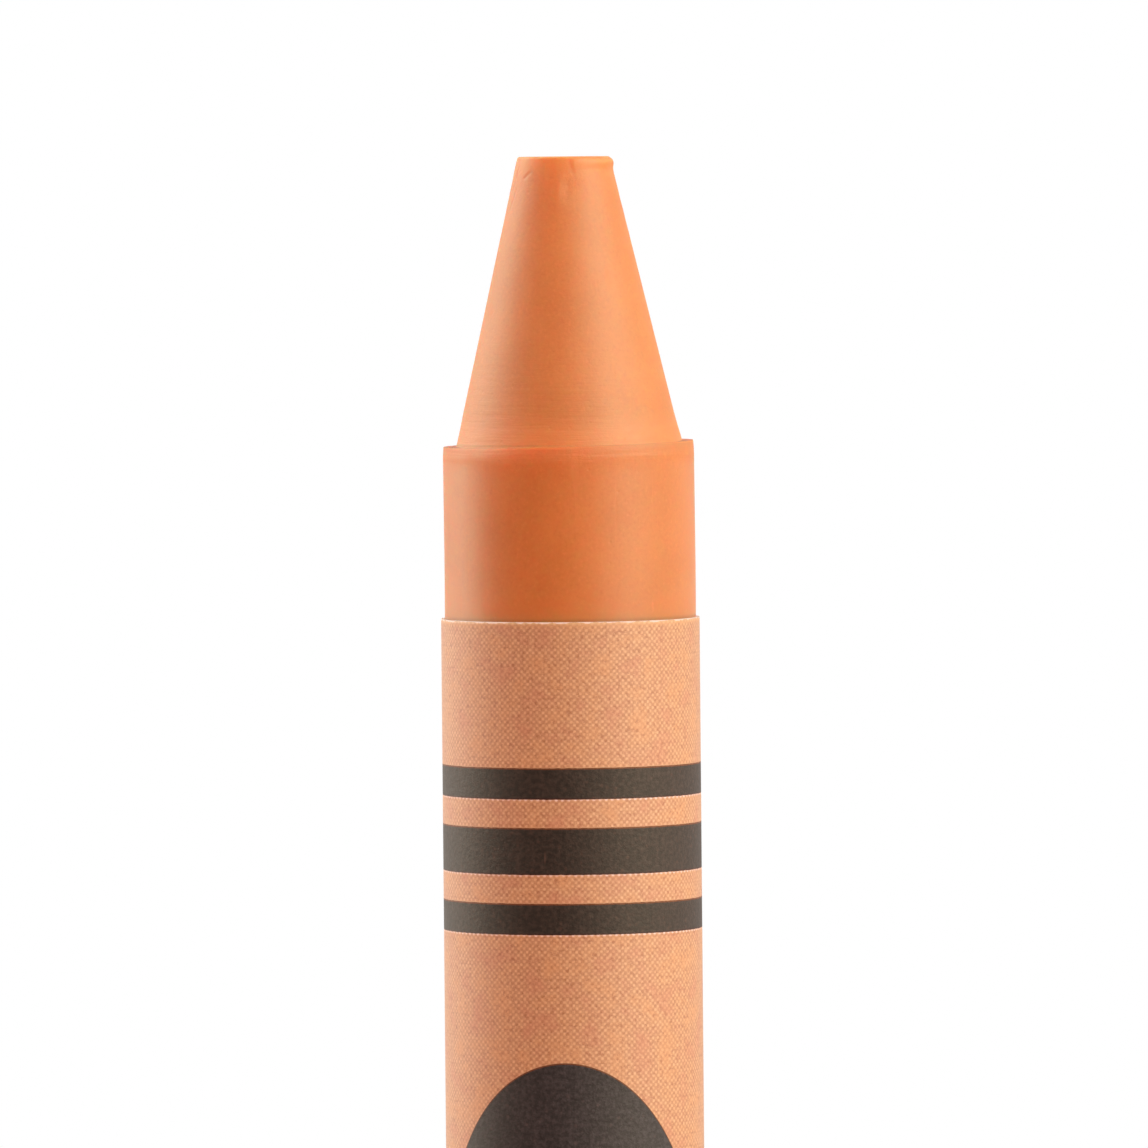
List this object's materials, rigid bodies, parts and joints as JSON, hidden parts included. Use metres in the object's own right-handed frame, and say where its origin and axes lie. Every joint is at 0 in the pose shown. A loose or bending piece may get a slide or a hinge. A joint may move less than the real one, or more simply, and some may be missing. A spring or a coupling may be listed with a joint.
{
  "type": "wax crayon",
  "caption": "Round moulded wax crayon with a stepped blunt point and a printed paper label wound round its barrel, for drawing and colouring.",
  "frame": {"origin": "centre of the flat butt face, on the stick's axis", "axes": "+Z along the stick from the butt face to the point; -Y is the front, where the print faces; the label's seam is at the back, near +Y"},
  "size_m": [0.008, 0.008, 0.092],
  "materials": {
    "orange_wax": "satin",
    "printed_paper": "matte",
    "starch_paste": "matte"
  },
  "bodies": {
    "root": {"wax_stick": "orange_wax", "paper_label": "printed_paper", "paste_film": "starch_paste"}
  },
  "joints": []
}
